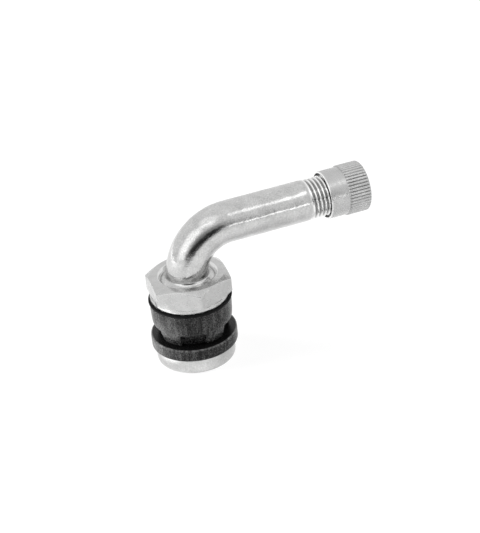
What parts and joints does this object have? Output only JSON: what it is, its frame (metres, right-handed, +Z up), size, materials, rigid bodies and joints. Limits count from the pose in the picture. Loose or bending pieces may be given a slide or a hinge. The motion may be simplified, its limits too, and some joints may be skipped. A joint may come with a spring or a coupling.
{
  "type": "tyre valve",
  "caption": "Right-angled clamp-in tyre valve: bent metal stem on a round foot, rubber rim seals, hexagon clamp nut, sprung valve core and fluted screw cap.",
  "frame": {"origin": "centre of the rim's hole, on the upper face of the inner seal's flange, which lies against the inside of the rim", "axes": "+Z up the stem, out of the wheel; +X along the outlet, towards the cap; Y across the bend"},
  "size_m": [0.0442, 0.0166, 0.0308],
  "materials": {
    "bright_nickel": "polished",
    "nut_nickel": "satin",
    "satin_nickel": "satin",
    "black_rubber": "matte",
    "black_washer": "satin",
    "core_brass": "satin",
    "red_seal": "satin",
    "spring_steel": "satin"
  },
  "bodies": {
    "stem": {"valve_stem": "bright_nickel", "inner_seal": "black_rubber", "outer_bush": "black_rubber", "core_plug": "core_brass", "core_barrel": "core_brass", "barrel_gasket": "red_seal", "core_spring": "spring_steel"},
    "washer": {"clamp_washer": "black_washer"},
    "nut": {"clamp_nut": "nut_nickel"},
    "seal_disc": {"cap_seal": "black_rubber"},
    "cap": {"valve_cap": "satin_nickel"},
    "plunger": {"core_pin": "core_brass", "pin_cup": "core_brass", "cup_seal": "black_rubber"}
  },
  "joints": [
    {"name": "nut_turn", "type": "hinge", "parent": "stem", "child": "washer", "pos_m": [0, 0, 0.0073], "axis": [0, 0, 1], "range_deg": [0, 1080]},
    {"name": "nut_climb", "type": "slide", "parent": "washer", "child": "nut", "axis": [0, 0, 1], "range_m": [0, 0.00301]},
    {"name": "cap_travel", "type": "slide", "parent": "stem", "child": "seal_disc", "axis": [1, 0, 0], "range_m": [0, 0.00636]},
    {"name": "cap_turn", "type": "hinge", "parent": "seal_disc", "child": "cap", "pos_m": [0.028, 0, 0.0204], "axis": [1, 0, 0], "range_deg": [0, 2880]},
    {"name": "pin_press", "type": "slide", "parent": "stem", "child": "plunger", "axis": [-1, 0, 0], "range_m": [0, 0.0012], "stiffness_N_per_m": 200, "springref_m": -0.002, "deforming": ["core_spring"]}
  ],
  "couplings": [
    {"joint": "nut_climb", "follows": "nut_turn", "m_per_rad": 0.00015915},
    {"joint": "cap_travel", "follows": "cap_turn", "m_per_rad": 0.00012637}
  ]
}
